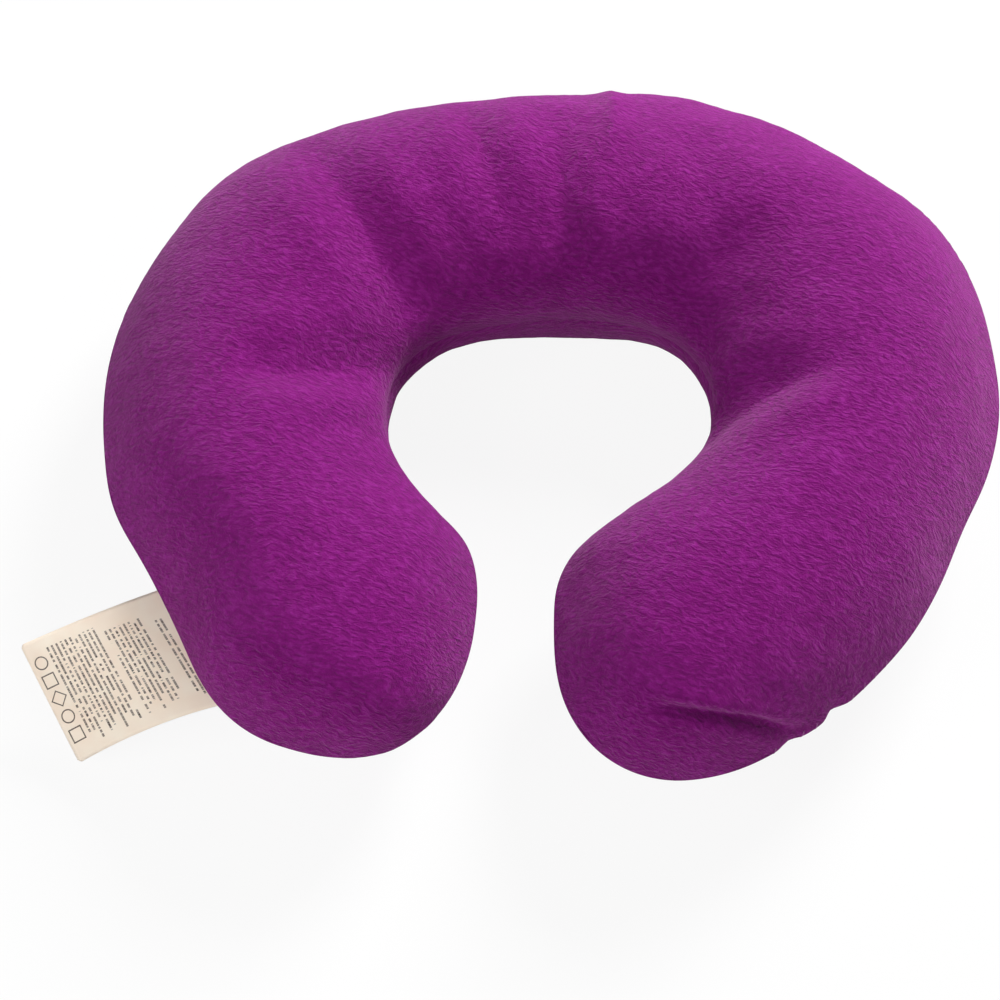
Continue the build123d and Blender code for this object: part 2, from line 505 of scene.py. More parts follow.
def smooth(points, faces, fixed, passes):
    """The points, each moved half way to the mean of its neighbours, pass by pass."""
    sides = np.vstack([faces[:, [0, 1]], faces[:, [1, 2]], faces[:, [2, 0]]])
    pairs = np.unique(np.sort(sides, axis=1), axis=0)
    both = np.vstack([pairs, pairs[:, ::-1]])
    count = np.bincount(both[:, 0], minlength=len(points))[:, None]
    for _ in range(passes):
        total = np.zeros_like(points)
        np.add.at(total, both[:, 0], points[both[:, 1]])
        points = np.where(fixed[:, None], points, (points + total / count) / 2)
    return points


both_faces = np.vstack([upper_faces, lower_faces])
fixed = np.concatenate([on_edge, np.zeros(len(inner), bool)])
stuffed = smooth(stuffed, both_faces, fixed, SMOOTHING_PASSES)
above = stuffed[:, 2] - SEAM_Z
above = np.where(above > 0, above * (TOP_Z - SEAM_Z - UNDER_TOP) / above.max(),
                 above * (SEAM_Z + SINK) / -above.min())
height = above + SEAM_Z
settled = (SETTLE_BELOW - LOWEST) * np.exp((height - SETTLE_BELOW) / (SETTLE_BELOW - LOWEST)) + LOWEST
stuffed[:, 2] = np.where(height < SETTLE_BELOW, settled, height)
print("settled cloth, mm:", np.round(stuffed.min(axis=0) / MM, 1), np.round(stuffed.max(axis=0) / MM, 1))

# %% [markdown]
# Each panel is subdivided to about 1.5 mm, fine enough for folds and for the soft unevenness of plush.
# Every point keeps its place on the flat cloth in an attribute, "cut_place", so that the pile of the material
# lies in the cloth and goes with it. The left half of the cloth has another
# material index than the right half, which is how the halves are told apart after subdivision.

# %% Fine cloth
FINE_LEVELS = 2
APART = 0.1                              # keeps the pattern of the lower panel apart from the upper one's


def subdivided(points, faces, flat_places, levels):
    """Points, four-sided faces, flat places and halves (0 left, 1 right) of the smooth surface."""
    mesh = bpy.data.meshes.new("coarse")
    mesh.from_pydata(points.tolist(), [], faces.tolist())
    mesh.attributes.new("cut_place", "FLOAT_VECTOR", "POINT").data.foreach_set(
        "vector", flat_places.ravel())
    on_right = flat_places[faces].mean(axis=1)[:, 0] > 0
    mesh.polygons.foreach_set("material_index", on_right.astype(np.int32))
    for name in ("left", "right"):
        mesh.materials.append(bpy.data.materials.new(name))
    coarse = put_in_scene("coarse", mesh)
    divide = coarse.modifiers.new("divide", "SUBSURF")
    divide.levels = levels
    graph = bpy.context.evaluated_depsgraph_get()
    fine = bpy.data.meshes.new_from_object(
        coarse.evaluated_get(graph), preserve_all_data_layers=True, depsgraph=graph)
    found = [np.array([v.co for v in fine.vertices]), np.array([p.vertices for p in fine.polygons]),
             np.array([a.vector for a in fine.attributes["cut_place"].data]),
             np.array([p.material_index for p in fine.polygons])]
    for used in list(mesh.materials):
        bpy.data.materials.remove(used)
    bpy.data.objects.remove(coarse)
    bpy.data.meshes.remove(fine)
    return found


def face_normals(points, faces):
    """Normals of faces with three or four sides, as long as twice their area."""
    corners = points[faces]
    return np.cross(corners[:, 2] - corners[:, 0], corners[:, -1] - corners[:, 1])


def point_normals(points, faces):
    """Unit normals at the points of a surface."""
    normals = np.zeros_like(points)
    across = face_normals(points, faces)
    for k in range(faces.shape[1]):
        np.add.at(normals, faces[:, k], across)
    return normals / (np.linalg.norm(normals, axis=1)[:, None] + 1e-12)


def open_sides(faces):
    """The sides that belong to one face only, as pairs of points."""
    corners = faces.shape[1]
    sides = np.vstack([faces[:, [k, (k + 1) % corners]] for k in range(corners)]).tolist()
    known = set(map(tuple, sides))
    return [(a, b) for a, b in sides if (b, a) not in known]


def border(faces):
    """The border of a surface as a chain of points, in the direction of its faces' sides."""
    following = dict(open_sides(faces))
    chain = [min(following)]
    while following[chain[-1]] != chain[0]:
        chain.append(following[chain[-1]])
    return np.array(chain)


print("border of the cut cloth:", len(border(upper_faces)), "points")

# %% Fine panels
flat_places = np.column_stack([np.vstack([flat, flat[inner]]), np.full(len(flat) + len(inner), APART)])
panels = {}
for name, faces in (("upper", upper_faces), ("lower", lower_faces)):
    used, packed = np.unique(faces, return_inverse=True)
    places = flat_places[used] * [1, 1, 1 if name == "upper" else -1]
    panels[name] = subdivided(stuffed[used], packed.reshape(faces.shape), places, FINE_LEVELS)
    print(name, "panel:", len(panels[name][0]), "points,", len(panels[name][1]), "faces")

# %% [markdown]
# A stuffed cover has folds where the cloth is too long for the inside of the bend: they radiate from the
# corners of the hole and run up over the back. Each fold is a short line drawn over the upper panel, with
# its depth and its width on either side of the line. A ridge is a fold with a negative depth.

# %% Folds
FOLDS = [                                # line in plan, depth, width on its left and right, all in mm
    ([(-116, -4), (-88, 2), (-54, 19)], 4.6, 10, 8),
    ([(-106, 104), (-75, 61), (-53, 34)], 4.6, 10, 10),
    ([(-48, 128), (-33, 95), (-20, 62)], 3.0, 8, 7),
    ([(-8, 128), (-3, 81), (4, 44)], 3.2, 8, 12),
    ([(9, 148), (13, 128), (16, 96)], -2.2, 5, 5),
    ([(54, -5), (78, 12), (114, 25)], 4.2, 11, 8),
    ([(47, -110), (78, -111), (112, -106.5)], 5.5, 1.6, 2.0),
    ([(40, 128), (52, 92), (64, 58)], 1.6, 10, 10),
]
FOLD_SHARPNESS = 1.5                     # 2 gives a round bottom, 1 a sharp one
FOLD_SWELL = 0.32                        # rise of the cloth beside a wide fold, as a share of its depth
SWELL_AT, SWELL_WIDTH = 1.9, 0.9         # its place and size, in widths of the fold
WIDE_FOLD = 8 * MM
FOLD_FADE = (1 * MM, 14 * MM)            # from the seam: no fold, and the whole fold
TIP_FOLD, TIP_LAP = 6, 1.6 * MM          # the fold at the tip of the right arm laps over a little
LAP_RISE, LAP_FADE = 1.6 * MM, 4 * MM    # across the fold: the lap is full here, and then fades
LAP_START = 3 * MM                       # from the seam: where the lap begins


def across_line(points, line):
    """Share of the way along a line, and signed distance from it, positive on its left."""
    best = np.full(len(points), np.inf)
    share, side = np.zeros(len(points)), np.zeros(len(points))
    starts = np.linspace(0, 1, len(line))
    for a, b, start, end in zip(line, line[1:], starts, starts[1:]):
        run = b - a
        t = (points - a) @ run / (run @ run)
        off = points - a - np.clip(t, 0, 1)[:, None] * run
        far = np.linalg.norm(off, axis=1)
        near = far < best
        best = np.where(near, far, best)
        share = np.where(near, start + np.clip(t, 0, 1) * (end - start), share)
        side = np.where(near, far * np.sign(run[0] * off[:, 1] - run[1] * off[:, 0]), side)
    return share, side


def rounded(line, count=24):
    """A smooth curve through the first and last of three points, bent towards the middle one."""
    a, b, c = line
    t = np.linspace(0, 1, count)[:, None]
    middle = 2 * b - (a + c) / 2
    return (1 - t) ** 2 * a + 2 * t * (1 - t) * middle + t ** 2 * c


print("folds on the upper panel:", len(FOLDS))


# %% Depth of the folds
def fold_depth(points, normals, from_seam, wider=1):
    """How far the folds press in each point of the upper side; none of them reaches the seam."""
    total = np.zeros(len(points))
    for line, depth, left_width, right_width in FOLDS:
        share, side = across_line(points[:, :2], rounded(np.array(line) * MM))
        width = np.where(side > 0, left_width, right_width) * MM * wider
        shape = np.exp(-(np.abs(side) / width) ** FOLD_SHARPNESS)
        swell = FOLD_SWELL * np.minimum(width / WIDE_FOLD, 1)
        shape -= swell * np.exp(-((np.abs(side) / width - SWELL_AT) / SWELL_WIDTH) ** 2)
        taper = np.sin(np.pi * np.clip(share, 0.001, 0.999)) ** 0.8
        total += depth * MM * taper * shape
    return total * ramp_up(normals[:, 2], -0.1, 0.5) * ramp_up(from_seam, *FOLD_FADE)


def seam_tree(seam_points):
    """A search tree of the seam's points."""
    tree = kdtree.KDTree(len(seam_points))
    for i, p in enumerate(seam_points):
        tree.insert(p, i)
    tree.balance()
    return tree


def lapped(points, line, lap, from_seam):
    """The points with the left side of a line drawn over it, as where cloth laps over a fold."""
    curve = rounded(np.array(line) * MM)
    share, side = across_line(points[:, :2], curve)
    run = curve[-1] - curve[0]
    over = np.array([run[1], -run[0], 0]) / np.linalg.norm(run) * lap
    much = ramp_up(side, 0, LAP_RISE) * np.exp(-(np.maximum(side - LAP_RISE, 0) / LAP_FADE) ** 2)
    much = much * np.sin(np.pi * np.clip(share, 0, 1)) * ramp_up(from_seam, LAP_START, FOLD_FADE[1])
    return points + over * much[:, None]


points, faces = panels["upper"][:2]
normals = point_normals(points, faces)
upper_tree = seam_tree(points[border(faces)])
from_seam = np.array([upper_tree.find(p)[2] for p in points])
pressed = fold_depth(points, normals, from_seam)
points -= pressed[:, None] * normals
points = lapped(points, FOLDS[TIP_FOLD][0], TIP_LAP, from_seam)
panels["upper"][0] = points
print("deepest fold, mm:", round(pressed.max() / MM, 1))

# %% [markdown]
# Plush on stuffing is never smooth. A soft unevenness of about half a millimetre follows the fibre
# underneath. At the seam the thread pulls both panels in, which leaves a shallow groove all round.

# %% Unevenness and seam groove
GROOVE_DEPTH = 0.3 * MM
GROOVE_WIDTH = 6 * MM
LUMPS = [(16 * MM, 0.45 * MM), (7 * MM, 0.22 * MM), (3.5 * MM, 0.09 * MM)]    # size and height
LUMPS_FADE = 5 * MM                      # from the seam: the lumps are full from here on
NOTCHES = np.array([(115, -99), (101, -114)]) * MM      # where the hand-closed gap ends
NOTCH_DEPTH, NOTCH_ALONG, NOTCH_INTO = 2.4 * MM, 4 * MM, 11 * MM
OVER_TABLE = 0.3 * MM

for name in panels:
    points, faces, places, halves = panels[name]
    chain = border(faces)
    seam_points = points[chain]
    turned = 1 if name == "upper" else -1
    side_ways = outward(seam_points[:, :2], 2) * turned
    tree = seam_tree(seam_points)
    nearest = [tree.find(p) for p in points]
    from_seam = np.array([n[2] for n in nearest])
    near = np.array([n[1] for n in nearest])
    lumps = np.zeros(len(points))
    for size, height in LUMPS:
        lumps += height * np.array([noise.noise(Vector(p) / size) for p in places])
    points += (lumps * ramp_up(from_seam, 0, LUMPS_FADE))[:, None] * point_normals(points, faces)
    pull = GROOVE_DEPTH * np.clip(1 - from_seam / GROOVE_WIDTH, 0, 1) ** 2
    for notch in NOTCHES:
        along = np.linalg.norm(seam_points[near, :2] - notch, axis=1)
        into = np.clip(1 - from_seam / NOTCH_INTO, 0, 1) ** 1.5
        pull += NOTCH_DEPTH * np.exp(-(along / NOTCH_ALONG) ** 2) * into
    points[:, :2] -= pull[:, None] * side_ways[near]
    points[:, 2] = np.maximum(points[:, 2], OVER_TABLE)
    print(name, "panel, mm:", np.round(points.min(axis=0) / MM, 1), np.round(points.max(axis=0) / MM, 1))

# %% [markdown]
# Each panel is real cloth, 1 mm thick, with its edge turned in at the seam. The turned edge and the inner
# face of the cloth are added here, and the panel is parted into a left and a right half. The shading
# normals are worked out on the whole panel first, so the line where the halves meet doesn't show.

# %% Cloth halves
CLOTH = 1.0 * MM
TURNED_EDGE = 5 * MM
SEAM_GAP = 0.1 * MM                      # from the seam's plane to the turned edge of either panel


def rim_faces(faces, apart):
    """Faces that join the border of a surface to a copy of it, whose points come apart places later."""
    a, b = np.array(open_sides(faces)).T
    return np.column_stack([b, a, a + apart, b + apart])


def cloth_half(name, points, faces, places, halves, half):
    """One half of a panel as a closed sheet of cloth, with its edge turned in."""
    up = 1 if name.startswith("upper") else -1
    chain = border(faces)
    ring = points[chain]
    in_ways = np.column_stack([-outward(ring[:, :2], 2) * up, np.zeros(len(ring))])
    count = len(chain)
    rows, row_places = [], []
    for share in (0.5, 1.0):
        row = ring + in_ways * TURNED_EDGE * share
        row[:, 2] = SEAM_Z + up * SEAM_GAP
        rows.append(row)
        row_places.append(places[chain] + in_ways * TURNED_EDGE * share)
    all_points = np.vstack([points, *rows])
    all_places = np.vstack([places, *row_places])
    ids = np.vstack([chain, len(points) + np.arange(count), len(points) + count + np.arange(count)])
    onward = np.roll(ids, -1, axis=1)
    turned = np.vstack([np.column_stack([onward[k], ids[k], ids[k + 1], onward[k + 1]]) for k in (0, 1)])

    beside = {}
    for face, one_half in zip(faces.tolist(), halves.tolist()):
        for k in range(4):
            beside[face[k], face[(k + 1) % 4]] = one_half
    edge_half = np.array([beside[a, b] for a, b in zip(chain.tolist(), np.roll(chain, -1).tolist())])
    all_faces = np.vstack([faces, turned])
    all_halves = np.concatenate([halves, edge_half, edge_half])
    outer_normals = point_normals(all_points, faces)
    turned_normals = point_normals(all_points, turned)
    joint_normals = point_normals(all_points, all_faces)
    corner_normals = np.where((np.arange(len(all_faces)) < len(faces))[:, None, None],
                              outer_normals[all_faces], turned_normals[all_faces])

    keep = all_halves == half
    mine, mine_normals = all_faces[keep], corner_normals[keep]
    used, packed = np.unique(mine, return_inverse=True)
    packed = packed.reshape(mine.shape)
    outside = all_points[used]
    inside_face = outside - CLOTH * joint_normals[used]
    back = packed[:, ::-1] + len(used)
    rim = rim_faces(packed, len(used))

    shell = np.vstack([outside, inside_face])
    shell_faces = np.vstack([packed, back, rim])
    rim_normals = face_normals(shell, rim)
    rim_normals /= np.linalg.norm(rim_normals, axis=1)[:, None] + 1e-12
    loops = np.concatenate([mine_normals.reshape(-1, 3), -joint_normals[mine][:, ::-1].reshape(-1, 3),
                            np.repeat(rim_normals, 4, axis=0)])
    mesh = bpy.data.meshes.new(name)
    mesh.from_pydata(shell.tolist(), [], shell_faces.tolist())
    mesh.attributes.new("cut_place", "FLOAT_VECTOR", "POINT").data.foreach_set(
        "vector", np.vstack([all_places[used], all_places[used]]).ravel())
    mesh.polygons.foreach_set("use_smooth", np.ones(len(shell_faces), bool))
    mesh.normals_split_custom_set(loops.tolist())
    return put_in_scene(name, mesh)


print("cloth:", CLOTH / MM, "mm thick, turned in by", TURNED_EDGE / MM, "mm")

# %% The four pieces of the cover
cover = {}
for panel_name, arrays in panels.items():
    for half, side_name in enumerate(("left", "right")):
        name = f"{panel_name}_cover_{side_name}"
        cover[name] = cloth_half(name, *arrays, half)
        print(name, len(cover[name].data.polygons), "faces")

# %% [markdown]
# The stuffing is loose polyester fibre, pushed in through the gap until the cover is tight. It fills the
# cover just inside the cloth, and its edge stops short of the turned-in seam. It starts as the stuffed
# cloth, moved inwards along its own normals, and is cut in two on the middle line like the cover.

# %% Stuffing
FILL_CLEARANCE = 2.6 * MM
FILL_AT_SEAM = 9 * MM
FILL_AWAY = 18 * MM                      # this far from the seam the stuffing is at its usual clearance
FILL_FOLD_DEPTH, FILL_FOLD_WIDTH = 1.15, 1.5     # its folds are deeper and wider, so the cloth clears them
FILL_SMOOTHING_PASSES = 2


def mesh_and_body(name, points, faces):
    """A mesh of the points and faces, and a bmesh of it to work on."""
    mesh = bpy.data.meshes.new(name)
    mesh.from_pydata(points.tolist(), [], faces)
    body = bmesh.new()
    body.from_mesh(mesh)
    return mesh, body


def finished(mesh, body):
    """The object of a worked body, with its faces pointing out and shaded smooth."""
    bmesh.ops.recalc_face_normals(body, faces=body.faces)
    body.to_mesh(mesh)
    body.free()
    mesh.polygons.foreach_set("use_smooth", np.ones(len(mesh.polygons), bool))
    return put_in_scene(mesh.name, mesh)


def fibre_half(name, points, faces, half):
    """One half of the stuffing: the closed body, cut on the middle line and capped there."""
    mesh, body = mesh_and_body(name, points, faces.tolist())
    bmesh.ops.bisect_plane(body, geom=body.verts[:] + body.edges[:] + body.faces[:], dist=LEVEL,
                           plane_co=(0, 0, 0), plane_no=(1, 0, 0),
                           clear_outer=half == 0, clear_inner=half == 1)
    bmesh.ops.holes_fill(body, edges=[e for e in body.edges if e.is_boundary], sides=0)
    bmesh.ops.triangulate(body, faces=[f for f in body.faces if len(f.verts) > 4])
    return finished(mesh, body)


print("stuffing stays", FILL_CLEARANCE / MM, "mm inside the cover")

# %% The two halves of the stuffing
coarse_tree = seam_tree(stuffed[:len(flat)][on_edge])
from_seam = np.array([coarse_tree.find(p)[2] for p in stuffed])
normals = point_normals(stuffed, both_faces)
inset = FILL_CLEARANCE + (FILL_AT_SEAM - FILL_CLEARANCE) * (1 - ramp_up(from_seam, 0, FILL_AWAY))
folded = fold_depth(stuffed, normals, from_seam, wider=FILL_FOLD_WIDTH)
inset += FILL_FOLD_DEPTH * np.maximum(folded, 0)
shrunk = smooth(stuffed - normals * inset[:, None], both_faces, np.zeros(len(stuffed), bool),
                FILL_SMOOTHING_PASSES)
stuffing = {side: fibre_half(f"fibre_fill_{side}", shrunk, both_faces, half)
            for half, side in enumerate(("left", "right"))}
print("stuffing, mm:", np.round(shrunk.min(axis=0) / MM, 1), np.round(shrunk.max(axis=0) / MM, 1))

# %% [markdown]
# A lockstitch seam has two threads: the needle thread lies on the upper cloth and the bobbin thread on
# the lower cloth, both a little inside the folded edge. Each stitch is 2.5 mm long and sinks into the
# cloth at its ends. The threads are swept along the line of the seam as thin tubes.

# %% Seam threads
STITCH = 2.5 * MM
STITCH_INSET = 1.8 * MM
THREAD_RADIUS = 0.22 * MM
THREAD_SIDES = 6
THREAD_DEEP, THREAD_HIGH = 0.3, 1.1      # height of its middle over the cloth, in radii, by turns


def swept(name, path, radius, sides, normal=None):
    """A tube of one radius along the points of an open path, closed at its ends."""
    path = np.array(path)
    along = np.gradient(path, axis=0)
    along /= np.linalg.norm(along, axis=1)[:, None]
    up = np.tile([0.0, 0.0, 1.0], (len(path), 1)) if normal is None else np.tile(normal, (len(path), 1))
    first = np.cross(along, up)
    first /= np.linalg.norm(first, axis=1)[:, None]
    second = np.cross(first, along)
    turns = (np.arange(sides) / sides * 2 * np.pi)[None, :, None]
    rings = path[:, None] + radius * (np.cos(turns) * first[:, None] + np.sin(turns) * second[:, None])
    index = np.arange(len(path) * sides).reshape(len(path), sides)
    a, b = index[:-1], index[1:]
    quads = np.stack([a, np.roll(a, -1, axis=1), np.roll(b, -1, axis=1), b], axis=-1).reshape(-1, 4)
    ends = [index[0][::-1].tolist(), index[-1].tolist()]
    return finished(*mesh_and_body(name, rings.reshape(-1, 3), quads.tolist() + ends))


def middle_parts(line):
    """A closed line in plan, parted on the middle line into an open left and an open right line."""
    parts = {}
    for side, sign in (("left", -1), ("right", 1)):
        mine = sign * line[:, 0] >= 0
        start = int(np.flatnonzero(mine & ~np.roll(mine, 1))[0])
        turned, mine = np.roll(line, -start, axis=0), np.roll(mine, -start)
        part = turned[:np.flatnonzero(~mine)[0]].copy()
        for end, beyond in ((0, turned[-1]), (-1, turned[np.flatnonzero(~mine)[0]])):
            share = part[end, 0] / (part[end, 0] - beyond[0])
            met = part[end] + share * (beyond - part[end])
            part = np.vstack([[met], part]) if end == 0 else np.vstack([part, [met]])
        parts[side] = part
    return parts


print("stitch length, mm:", STITCH / MM)

# %% Needle thread and bobbin thread
points, faces = panels["upper"][:2]
chain_line = points[border(faces)][:, :2]
stitch_line, = evenly(STITCH / 2, lengths_along(chain_line), chain_line)
stitch_line = stitch_line - outward(stitch_line, 2) * STITCH_INSET
threads = {}
for name, up in (("needle_thread", 1), ("bobbin_thread", -1)):
    for side, part in middle_parts(stitch_line).items():
        by_turns = np.where(np.arange(len(part)) % 2 == 0, THREAD_DEEP, THREAD_HIGH)
        lift = CLOTH + SEAM_GAP + THREAD_RADIUS * by_turns
        path = np.column_stack([part, SEAM_Z + up * lift])
        threads[name, side] = swept(f"{name}_{side}", path, THREAD_RADIUS, THREAD_SIDES)
print("stitches round the pillow:", len(stitch_line) // 2)

# %% [markdown]
# The gap for the stuffing is closed by hand, with short stitches over the seam near the tip of the right
# arm. They lean a little, as a hand-sewn row does, and pull the two edges together.

# %% Closing stitches
GAP_MIDDLE = np.array([114.9, -100.2]) * MM
CLOSING_STITCHES = 10
STITCH_SPACING = 6 * MM
STITCH_SPAN = 4.6 * MM
CLOSING_RADIUS = 0.3 * MM
CLOSING_SIDES = 8
CLOSING_POINTS = 9
LEAN = 1.6 * MM
SUNK = 0.25 * MM                         # how far inside the seam's edge a stitch lies at its middle
PULLED_IN = 0.8 * MM                     # and how much further at its ends
FINE_STEP = 0.5 * MM

fine_line, = evenly(FINE_STEP, lengths_along(chain_line), chain_line)
out_ways = outward(fine_line, 8)
at_gap = int(np.linalg.norm(fine_line - uneven(GAP_MIDDLE[None])[0], axis=1).argmin())
bars = []
for number in range(CLOSING_STITCHES):
    from_middle = (number - (CLOSING_STITCHES - 1) / 2) * STITCH_SPACING
    at = (at_gap + int(round(from_middle / FINE_STEP))) % len(fine_line)
    place, out = fine_line[at], out_ways[at]
    along = np.array([-out[1], out[0]])
    path = []
    for t in np.linspace(-1, 1, CLOSING_POINTS):
        plan = place - out * (SUNK + PULLED_IN * t * t) + along * LEAN * t / 2
        path.append((*plan, SEAM_Z + t * STITCH_SPAN / 2))
    bars.append(swept(f"bar_{number}", path, CLOSING_RADIUS, CLOSING_SIDES, normal=(*along, 0)))
closing = bars[0]
closing_bmesh = bmesh.new()
for bar in bars:
    closing_bmesh.from_mesh(bar.data)
closing_bmesh.to_mesh(closing.data)
closing_bmesh.free()
closing.data.polygons.foreach_set("use_smooth", np.ones(len(closing.data.polygons), bool))
for bar in bars[1:]:
    bpy.data.objects.remove(bar)
closing.name = "closing_stitches_thread"
print("closing stitches:", CLOSING_STITCHES)

# %% [markdown]
# The care label is one leaf of woven satin ribbon, 50 mm wide and 62 mm long from the seam to its free
# edge. It leaves the seam nearly level, between the two panels, and bends down under its own weight, more
# and more towards its free edge. It is sewn in a little askew, so it twists: the front corner hangs lower
# than the back corner. The leaf is a grid of points between the seam and the line of its free edge, closed
# into a sheet 0.3 mm thick.

# %% Care label
LABEL_WIDTH = 50 * MM
LABEL_LENGTH = 62 * MM
LABEL_TUCK = 4 * MM
LABEL_THICKNESS = 0.3 * MM
LABEL_HEADING = math.radians(219.5)
LABEL_SKEW = math.radians(17)
BACK_CORNER = np.array([-183, -101, 30]) * MM      # free corners of the leaf
FRONT_CORNER = np.array([-159, -135.5, 5]) * MM
LABEL_ROWS, LABEL_COLUMNS = 48, 36
LABEL_SAG = 1.7                          # 1 is a straight leaf; more bends it towards its free edge
LABEL_CROWN = 1.2 * MM                   # the middle of the free edge stands this much over its corners
CORNER_CUT = 0.42                        # share of the last step that a free corner is drawn in
BACK_PLACE = -1 * MM                     # height of the back face in "leaf_place", to keep the print off it

label_along = np.array([math.cos(LABEL_HEADING - LABEL_SKEW), math.sin(LABEL_HEADING - LABEL_SKEW), 0])
seam_ways = np.array([-math.sin(LABEL_HEADING), math.cos(LABEL_HEADING), 0])      # to the front
half_seam = seam_ways * LABEL_WIDTH / 2 / math.cos(LABEL_SKEW)


def leaf_point(share_along, share_across):
    """A point of the leaf: along from 0 at the seam to 1 at the free edge, across from -1 to 1 in front."""
    root = np.array([*LABEL_ROOT, SEAM_Z]) + half_seam * share_across
    if share_along < 0:
        return root + label_along * share_along * LABEL_LENGTH
    corner = BACK_CORNER + (FRONT_CORNER - BACK_CORNER) * (share_across + 1) / 2
    point = root + (corner - root) * share_along
    sag = share_along ** LABEL_SAG - share_along
    point[2] += (corner[2] - SEAM_Z) * sag + LABEL_CROWN * share_along * (1 - share_across ** 2)
    return point


print("label, flat, mm:", LABEL_WIDTH / MM, "x", (LABEL_LENGTH + LABEL_TUCK) / MM)

# %% The leaf as a sheet
tuck = -LABEL_TUCK / LABEL_LENGTH
rows_along = np.concatenate([[tuck, tuck / 2], np.linspace(0, 1, LABEL_ROWS + 1)])
columns_across = np.linspace(-1, 1, LABEL_COLUMNS + 1)
leaf = np.array([[leaf_point(a, c) for c in columns_across] for a in rows_along])
leaf_flat = np.array([[(c * LABEL_WIDTH / 2, a * LABEL_LENGTH, 0) for c in columns_across]
                      for a in rows_along])
for column, beside in ((0, 1), (-1, -2)):
    leaf[-1, column] += (leaf[-2, beside] - leaf[-1, column]) * CORNER_CUT
shape = leaf.shape[:2]
index = np.arange(shape[0] * shape[1]).reshape(shape)
quads = np.stack([index[:-1, :-1], index[1:, :-1], index[1:, 1:], index[:-1, 1:]], axis=-1).reshape(-1, 4)
middle, places = leaf.reshape(-1, 3), leaf_flat.reshape(-1, 3)
leaf_normals = point_normals(middle, quads)
if leaf_normals[:, 2].mean() < 0:
    quads, leaf_normals = quads[:, ::-1], -leaf_normals
half_thick = leaf_normals * LABEL_THICKNESS / 2
sheet_points = np.vstack([middle + half_thick, middle - half_thick])
sheet_faces = np.vstack([quads, quads[:, ::-1] + len(middle), rim_faces(quads, len(middle))])
label_mesh = bpy.data.meshes.new("care_label_leaf")
label_mesh.from_pydata(sheet_points.tolist(), [], sheet_faces.tolist())
label_mesh.attributes.new("leaf_place", "FLOAT_VECTOR", "POINT").data.foreach_set(
    "vector", np.vstack([places, places + [0, 0, BACK_PLACE]]).ravel())
label_mesh.polygons.foreach_set("use_smooth", np.arange(len(label_mesh.polygons)) < 2 * len(quads))
label = put_in_scene("care_label_leaf", label_mesh)
print("label, mm:", np.round(sheet_points.min(axis=0) / MM, 1), np.round(sheet_points.max(axis=0) / MM, 1))

# %% [markdown]
# The cover is polyester plush knit: a knitted ground with a pile about 1.5 mm long, brushed and sheared.
# To the eye it is matt and deep, darker where one looks into the pile and paler where the tips catch the
# light at the edges, which is what sheen gives. Brushing leaves the pile in short flat ripples that run
# across the cloth. The bump gives each ripple a lit and a shaded side. The colour follows the same height:
# it is the dye's own uneven tone, with painted shade in the hollows and a painted highlight on the crests.

# %% Plush knit
# The dark and light pile colours are the dye with painted shade and a painted highlight; the middle one is
# the dye.
PILE_SHADED, PILE_MIDDLE, PILE_LIT = "#6e0b64", "#7e0e73", "#92218a"
RIPPLE_LENGTH, RIPPLE_WIDTH = 3.0 * MM, 1.25 * MM
FIBRE_SIZE = 0.45 * MM
PATCH_SIZE = 28 * MM
RIPPLE_TURN = math.radians(-14)          # the ripples lean a little across the cloth
RIPPLE_WANDER = 9 * MM                   # and wander by up to this from one patch to the next
PILE_HEIGHT = 1.7 * MM
PATCH_TINT = 0.12                        # how much the patches darken and lighten the pile
FIBRE_SHARE = 0.28                       # of the fibres in the pile's height; the rest is the ripples


